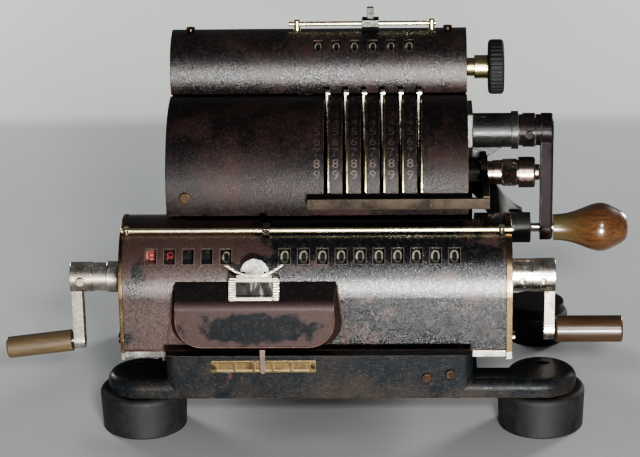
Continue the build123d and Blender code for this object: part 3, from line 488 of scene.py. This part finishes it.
def wheel_digits(name, x, cy, cz, radius, show, shown, width, height, look, body):
    items = [(d, x, cy, cz, radius + 0.04, show + 36.0 * (d - shown), width, height) for d in range(10)]
    return numerals(name, items, look, body)


# ------------------------------------------------------------------ numerals
for i in range(10):
    wheel_digits("result_digits_%d" % (i + 1), RESULT_X + i * PITCH, CAR_Y, CAR_Z, WHEEL_R, WHEEL_UP,
                 0, 3.9, 5.8, CREAM, "result_%d" % (i + 1))
for j, (shown, ink) in enumerate(((8, RED_INK), (8, RED_INK), (1, GREY_INK), (1, GREY_INK), (0, CREAM))):
    wheel_digits("counter_digits_%d" % (j + 1), COUNTER_X + j * PITCH, CAR_Y, CAR_Z, WHEEL_R, WHEEL_UP,
                 shown, 3.6, 5.2, ink, "counter_%d" % (j + 1))
for k in range(6):
    wheel_digits("dial_digits_%d" % (k + 1), DIAL_X + k * PITCH, DIAL_Y, DIAL_Z, DIAL_WHEEL_R, DIAL_WHEEL_UP,
                 0, 3.5, 5.6, CREAM, "dial_%d" % (k + 1))

# the scale beside each drum slot: its last two digits take a lighter ink than the rest
slot_digits, slot_faint = [], []
for k in range(6):
    for d in range(10):
        up = 89.5 - 8.0 * d
        item = (d, SLOT_X + k * PITCH - 4.2, DRUM_Y, DRUM_Z, DRUM_R + LIFT, up, 2.7, 3.7)
        (slot_digits if d > 7 else slot_faint).append(item)
numerals("slot_digits", slot_digits, ENGRAVED, "base")
numerals("slot_digits_faint", slot_faint, FAINT, "base")

# small place numbers above the carriage windows, counted from the right
place_digits = []
for start, count in ((RESULT_X, 10), (COUNTER_X, 5)):
    for i in range(count):
        x = start + (count - 1 - i) * PITCH
        place_digits.append(((i + 1) % 10, x, CAR_Y, CAR_Z, CAR_R + LIFT, 49.5, 1.3, 1.9))
numerals("place_digits", place_digits, FAINT, "carriage")


# ------------------------------------------------- outlines, liners and rims
def window_outlines(name, spots, cy, cz, radius, angle, width, height, line, look, body):
    """Thin frame round each window, lying on the curved cover."""
    points, faces = [], []
    side, half = width / 2, height / 2
    bars = (
        (-side - line, -side, -half - line, half + line),
        (side, side + line, -half - line, half + line),
        (-side, side, half, half + line),
        (-side, side, -half - line, -half),
    )
    for x in spots:
        for x0, x1, low, high in bars:
            steps = 8 if high - low > 1 else 1
            for i in range(steps + 1):
                up = low + (high - low) * i / steps
                points += wrap([(x0, up), (x1, up)], x, cy, cz, radius, angle)
                if i:
                    n = len(points)
                    faces.append((n - 4, n - 3, n - 1, n - 2))
    mesh = bpy.data.meshes.new(name)
    mesh.from_pydata(points, [], faces)
    mesh.update()
    return keep(name, mesh, look, body)


all_windows = [COUNTER_X + j * PITCH for j in range(5)] + [RESULT_X + i * PITCH for i in range(10)]
window_outlines("window_frames", all_windows, CAR_Y, CAR_Z, CAR_R + LIFT, 39.0, 4.9, 7.1, 0.28,
                GREY_INK, "carriage")
dial_windows = [DIAL_X + k * PITCH for k in range(6)]
window_outlines("dial_frames", dial_windows, DIAL_Y, DIAL_Z, DIAL_COVER_R + LIFT, 49.6, 4.4, 6.4, 0.22,
                FAINT, "base")


def strip(name, x_low, x_high, cy, cz, r_low, r_high, start, end, look, body, steps=40):
    """Curved bar bent round an axis that runs along X, closed at both ends."""
    points, faces = [], []
    for i in range(steps + 1):
        t = math.radians(start + (end - start) * i / steps)
        for r, x in ((r_low, x_low), (r_low, x_high), (r_high, x_high), (r_high, x_low)):
            points.append((x * MM, (cy - r * math.cos(t)) * MM, (cz + r * math.sin(t)) * MM))
    for i in range(steps):
        a, b = 4 * i, 4 * i + 4
        faces += [(a + j, a + (j + 1) % 4, b + (j + 1) % 4, b + j) for j in range(4)]
    faces += [(3, 2, 1, 0), tuple(4 * steps + j for j in range(4))]
    mesh = bpy.data.meshes.new(name)
    mesh.from_pydata(points, [], faces)
    mesh.update()
    return keep(name, mesh, look, body)


for k in range(6):
    x = SLOT_X + k * PITCH
    strip("slot_liner_%d" % (k + 1), x + 0.42, x + 1.12, DRUM_Y, DRUM_Z, DRUM_R - 2.2, DRUM_R - 0.2,
          4.6, 93.0, LINER, "base")


def tube(name, path, radius, look, body, sides=8):
    """Round bead along a path of points in mm."""
    places = [Vector(p) for p in path]
    points, faces = [], []
    for i, p in enumerate(places):
        along = (places[min(i + 1, len(places) - 1)] - places[max(i - 1, 0)]).normalized()
        side = along.cross(Vector((0.31, 0.86, 0.41))).normalized()
        other = along.cross(side)
        for j in range(sides):
            t = 2 * math.pi * j / sides
            points.append(tuple((p + side * radius * math.cos(t) + other * radius * math.sin(t)) * MM))
    for i in range(len(places) - 1):
        a, b = i * sides, (i + 1) * sides
        faces += [(a + j, a + (j + 1) % sides, b + (j + 1) % sides, b + j) for j in range(sides)]
    faces += [tuple(range(sides))[::-1], tuple((len(places) - 1) * sides + j for j in range(sides))]
    mesh = bpy.data.meshes.new(name)
    mesh.from_pydata(points, [], faces)
    mesh.update()
    smooth(mesh)
    return keep(name, mesh, look, body)


# rolled edge round the mouth of the hood, and the flanges that flare onto the cover
mouth_left, mouth_right = HOOD_LEFT + 0.9, HOOD_RIGHT - 0.9
mouth = [(mouth_left - 0.2, HOOD_FRONT, 57.0)]
for i in range(9):
    t = math.radians(180 + 90 * i / 8)
    x = mouth_left + HOOD_CORNER + HOOD_CORNER * math.cos(t)
    mouth.append((x, HOOD_FRONT, HOOD_LOW + HOOD_CORNER + HOOD_CORNER * math.sin(t)))
mouth += [(mouth_right + mouth_left - x, y, z) for x, y, z in reversed(mouth)]
tube("hood_bead", mouth, 0.42, RIM, "carriage")

flange_top, flange_bottom = 64.6, 37.2
for side, side_name, x_edge in ((-1, "left", HOOD_LEFT), (1, "right", HOOD_RIGHT)):
    flange = []
    for i in range(15):
        z = flange_top - i * (flange_top - flange_bottom) / 14
        spread = 4.3 * ((66.0 - z) / 30.0)
        y = CAR_Y - math.sqrt(CAR_R ** 2 - max(0.0, z - CAR_Z) ** 2) - 0.1
        flange.append((x_edge + side * (spread + 0.1), y, z))
    tube("hood_flange_" + side_name, flange, 0.4, RIM, "carriage")
hem = [(COVER_LEFT + 1.7 + i * 16.3, COVER_FRONT, COVER_BOTTOM) for i in range(11)]
tube("cover_hem", hem, 0.42, RIM, "carriage")


# ------------------------------------------------------------ floor and light
def pale_floor(half=2.2):
    """Plain pale floor, a little lighter far behind the machine."""
    mesh = bpy.data.meshes.new("floor")
    verts = [(x, y, 0.0) for x in (-half, half) for y in (-half, half)]
    mesh.from_pydata(verts, [], [(0, 1, 3, 2)])
    smooth(mesh)
    s = Shader("PaleTable")
    cloud = s.noise(3.0, 5.0, 0.6)
    colour = s.mix(s.span(cloud, 0.35, 0.7), (0.5, 0.512, 0.507), (0.53, 0.54, 0.532))
    colour = s.mix(s.span(s.axis(1), 0.375, 0.405), colour, (0.74, 0.755, 0.715))
    s.bump(s.noise(500.0, 2.0, 0.5), 0.05, 0.0005)
    mesh.materials.append(s.set(Base_Color=colour, Roughness=s.span(cloud, 0.3, 0.7, 0.55, 0.7)).mat)
    floor = bpy.data.objects.new("floor", mesh)
    bpy.context.scene.collection.objects.link(floor)


pale_floor()


def softbox(name, place, target, size, power, tint=(1.0, 1.0, 1.0)):
    """Rectangular area light; places in metres, power in watts."""
    lamp = bpy.data.lights.new(name, "AREA")
    lamp.shape = "RECTANGLE"
    lamp.size, lamp.size_y = size
    lamp.energy = power
    lamp.color = tint
    obj = bpy.data.objects.new(name, lamp)
    obj.location = place
    obj.rotation_euler = (Vector(target) - Vector(place)).to_track_quat("-Z", "Y").to_euler()
    bpy.context.scene.collection.objects.link(obj)


softbox("key", (0.17, -1.2, 0.02), (0.05, 0.0, 0.06), (0.18, 0.09), 40.0, (1.0, 0.985, 0.96))
softbox("upper", (0.22, -1.1, 0.6), (0.02, 0.0, 0.08), (0.2, 0.12), 6.0)
for side, side_name in ((-1, "left"), (1, "right")):
    softbox("back_" + side_name, (0.95 * side, 0.95, 0.42), (0.0, 0.0, 0.08), (0.34, 0.34), 10.0)
world = bpy.data.worlds.new("soft_world")
world.use_nodes = True
sky = world.node_tree.nodes["Background"].inputs
sky["Color"].default_value = (0.86, 0.9, 0.95, 1.0)
sky["Strength"].default_value = 0.17
bpy.context.scene.world = world
bpy.context.scene.view_settings.look = "AgX - High Contrast"


# -------------------------------------------------------------------- camera
def aim_camera(elevation, azimuth, roll, place, lens_mm):
    """Camera at a place in metres, looking down by the elevation; angles in degrees."""
    el, az, ro = (math.radians(a) for a in (elevation, azimuth, roll))
    forward = Vector((-math.sin(az) * math.cos(el), math.cos(az) * math.cos(el), -math.sin(el)))
    right = Vector((math.cos(az), math.sin(az), 0.0))
    up = right.cross(forward)
    turned_right = right * math.cos(ro) + up * math.sin(ro)
    turned_up = up * math.cos(ro) - right * math.sin(ro)
    lens = bpy.data.cameras.new("camera")
    lens.sensor_width = 36.0
    lens.lens = lens_mm
    cam = bpy.data.objects.new("camera", lens)
    turn = Matrix((turned_right, turned_up, -forward)).transposed().to_4x4()
    cam.matrix_world = Matrix.Translation(place) @ turn
    bpy.context.scene.collection.objects.link(cam)
    bpy.context.scene.camera = cam


aim_camera(20.02, 2.45, -1.13, (0.0437, -1.01075, 0.44094), 137.41875)
